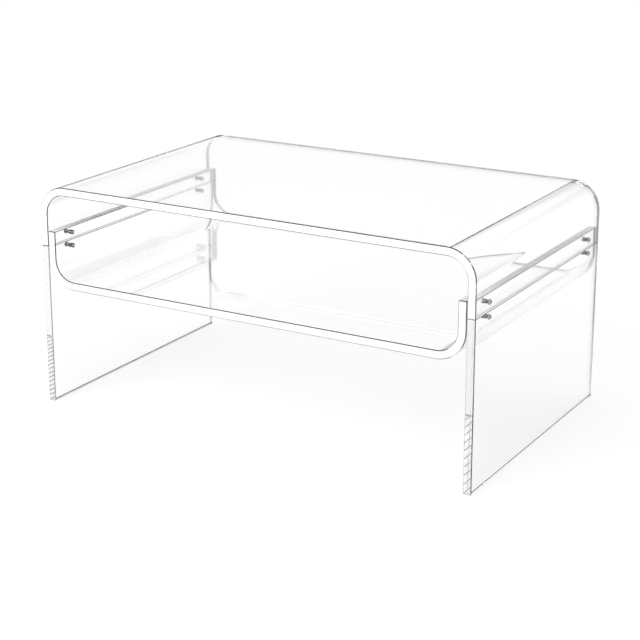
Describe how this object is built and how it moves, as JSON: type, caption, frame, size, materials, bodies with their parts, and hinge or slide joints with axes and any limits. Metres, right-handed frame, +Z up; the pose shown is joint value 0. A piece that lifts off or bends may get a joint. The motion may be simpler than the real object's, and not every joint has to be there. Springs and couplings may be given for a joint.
{
  "type": "waterfall coffee table",
  "caption": "Clear acrylic coffee table with a waterfall top and a bolted-in bent shelf for magazines or a tray.",
  "frame": {"origin": "on the floor under the middle of the table", "axes": "+Z up, X along the table, Y from its front edge to its back edge"},
  "size_m": [0.9216, 0.555, 0.435],
  "materials": {
    "clear_acrylic": "clear cast acrylic sheet, polished faces, flame-polished edges and bevels",
    "polished_steel": "polished stainless steel"
  },
  "bodies": {
    "root": {"top_sheet": "clear_acrylic", "left_leg": "clear_acrylic", "right_leg": "clear_acrylic", "shelf_sheet": "clear_acrylic", "screw_left_front_upper": "polished_steel", "barrel_nut_left_front_upper": "polished_steel", "screw_left_front_lower": "polished_steel", "barrel_nut_left_front_lower": "polished_steel", "screw_left_back_upper": "polished_steel", "barrel_nut_left_back_upper": "polished_steel", "screw_left_back_lower": "polished_steel", "barrel_nut_left_back_lower": "polished_steel", "screw_right_front_upper": "polished_steel", "barrel_nut_right_front_upper": "polished_steel", "screw_right_front_lower": "polished_steel", "barrel_nut_right_front_lower": "polished_steel", "screw_right_back_upper": "polished_steel", "barrel_nut_right_back_upper": "polished_steel", "screw_right_back_lower": "polished_steel", "barrel_nut_right_back_lower": "polished_steel"}
  },
  "joints": []
}
